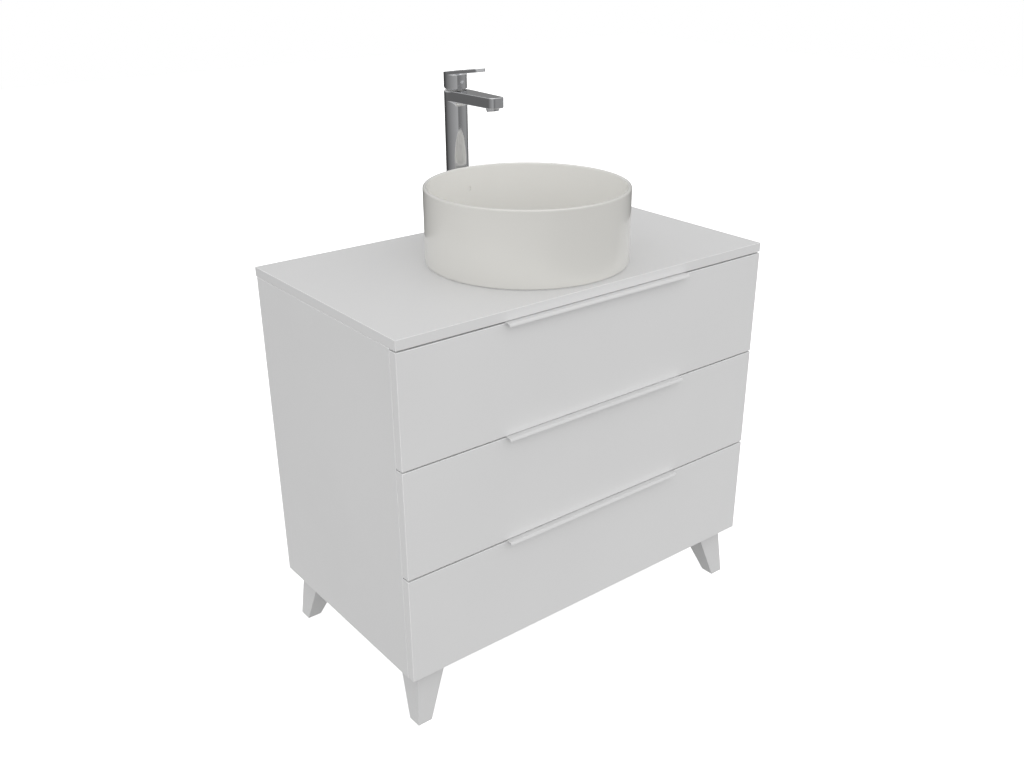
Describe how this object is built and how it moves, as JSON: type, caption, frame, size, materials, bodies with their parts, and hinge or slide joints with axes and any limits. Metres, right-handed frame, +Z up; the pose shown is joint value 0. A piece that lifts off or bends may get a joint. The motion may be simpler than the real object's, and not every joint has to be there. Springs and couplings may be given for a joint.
{
  "type": "vessel sink on vanity",
  "caption": "White freestanding vanity with full-width drawers and splayed legs, carrying a round ceramic vessel basin and a tall single-lever chrome mixer tap.",
  "frame": {"origin": "on the floor, at the centre of the bounding box's base", "axes": "+Z up; -Y towards the user, where the drawers open; +X to the right seen from the front"},
  "size_m": [0.8, 0.464, 1.0335],
  "materials": {
    "white_lacquer": "white satin lacquer on board, fine orange-peel",
    "white_laminate": "white satin laminate, edge banded",
    "handle_paint": "aluminium section, white powder coat",
    "glazed_ceramic": "warm white gloss glaze",
    "chrome": "polished chrome plate",
    "runner_steel": "zinc-plated rolled steel",
    "painted_steel": "white powder-coated steel",
    "brass": "turned brass",
    "white_plastic": "moulded polypropylene",
    "cap_plastic": "glossy cap over the grub screw",
    "white_silicone": "white silicone sealant",
    "black_rubber": "matt rubber"
  },
  "bodies": {
    "cabinet": {"side_panel_left": "white_lacquer", "side_panel_right": "white_lacquer", "base_panel": "white_lacquer", "front_rail": "white_lacquer", "rear_rail_upper": "white_lacquer", "rear_rail_lower": "white_lacquer", "worktop": "white_laminate", "leg_front_left": "white_lacquer", "leg_front_right": "white_lacquer", "leg_back_left": "white_lacquer", "leg_back_right": "white_lacquer", "basin": "glazed_ceramic", "basin_seal": "white_silicone", "waste_body": "chrome", "waste_backnut": "white_plastic", "trap_body": "white_plastic", "trap_cup": "white_plastic", "trap_inlet_nut": "white_plastic", "trap_outlet_nut": "white_plastic", "trap_outlet_pipe": "white_plastic", "tap_body": "chrome", "tap_aerator": "chrome", "tap_cartridge": "white_plastic", "tap_cover_ring": "white_plastic", "tap_base_seal": "black_rubber", "tap_shank": "brass", "tap_clamp_washer": "runner_steel", "tap_clamp_nut": "brass", "runner_bottom_left": "runner_steel", "runner_bottom_right": "runner_steel", "runner_middle_left": "runner_steel", "runner_middle_right": "runner_steel", "runner_top_left": "runner_steel", "runner_top_right": "runner_steel"},
    "drawer_bottom": {"drawer_bottom_front": "white_lacquer", "drawer_bottom_handle": "handle_paint", "drawer_bottom_side_left": "painted_steel", "drawer_bottom_side_right": "painted_steel", "drawer_bottom_bottom": "white_lacquer", "drawer_bottom_back": "white_lacquer"},
    "drawer_middle": {"drawer_middle_front": "white_lacquer", "drawer_middle_handle": "handle_paint", "drawer_middle_side_left": "painted_steel", "drawer_middle_side_right": "painted_steel", "drawer_middle_bottom": "white_lacquer", "drawer_middle_back": "white_lacquer"},
    "drawer_top": {"drawer_top_front": "white_lacquer", "drawer_top_handle": "handle_paint", "drawer_top_side_left": "painted_steel", "drawer_top_side_right": "painted_steel", "drawer_top_bottom": "white_lacquer", "drawer_top_back_left": "white_lacquer", "drawer_top_back_right": "white_lacquer", "drawer_top_cutout_liner": "white_lacquer"},
    "waste_plug": {"waste_plug": "chrome"},
    "tap_swivel": {"tap_driver": "brass"},
    "tap_lever": {"tap_stem": "brass", "tap_handle": "chrome", "tap_screw_cap": "cap_plastic"}
  },
  "joints": [
    {"name": "drawer_bottom_slide", "type": "slide", "parent": "cabinet", "child": "drawer_bottom", "axis": [0, -1, 0], "range_m": [0, 0.3]},
    {"name": "drawer_middle_slide", "type": "slide", "parent": "cabinet", "child": "drawer_middle", "axis": [0, -1, 0], "range_m": [0, 0.3]},
    {"name": "drawer_top_slide", "type": "slide", "parent": "cabinet", "child": "drawer_top", "axis": [0, -1, 0], "range_m": [0, 0.3]},
    {"name": "waste_plug_slide", "type": "slide", "parent": "cabinet", "child": "waste_plug", "axis": [0, 0, 1], "range_m": [0, 0.008]},
    {"name": "tap_temperature_swivel", "type": "hinge", "parent": "cabinet", "child": "tap_swivel", "pos_m": [0, 0.184, 0.982], "axis": [0, 0, 1], "range_deg": [-45, 45]},
    {"name": "tap_lever_tilt", "type": "hinge", "parent": "tap_swivel", "child": "tap_lever", "pos_m": [0, 0.184, 0.982], "axis": [-1, 0, 0], "range_deg": [0, 15]}
  ]
}
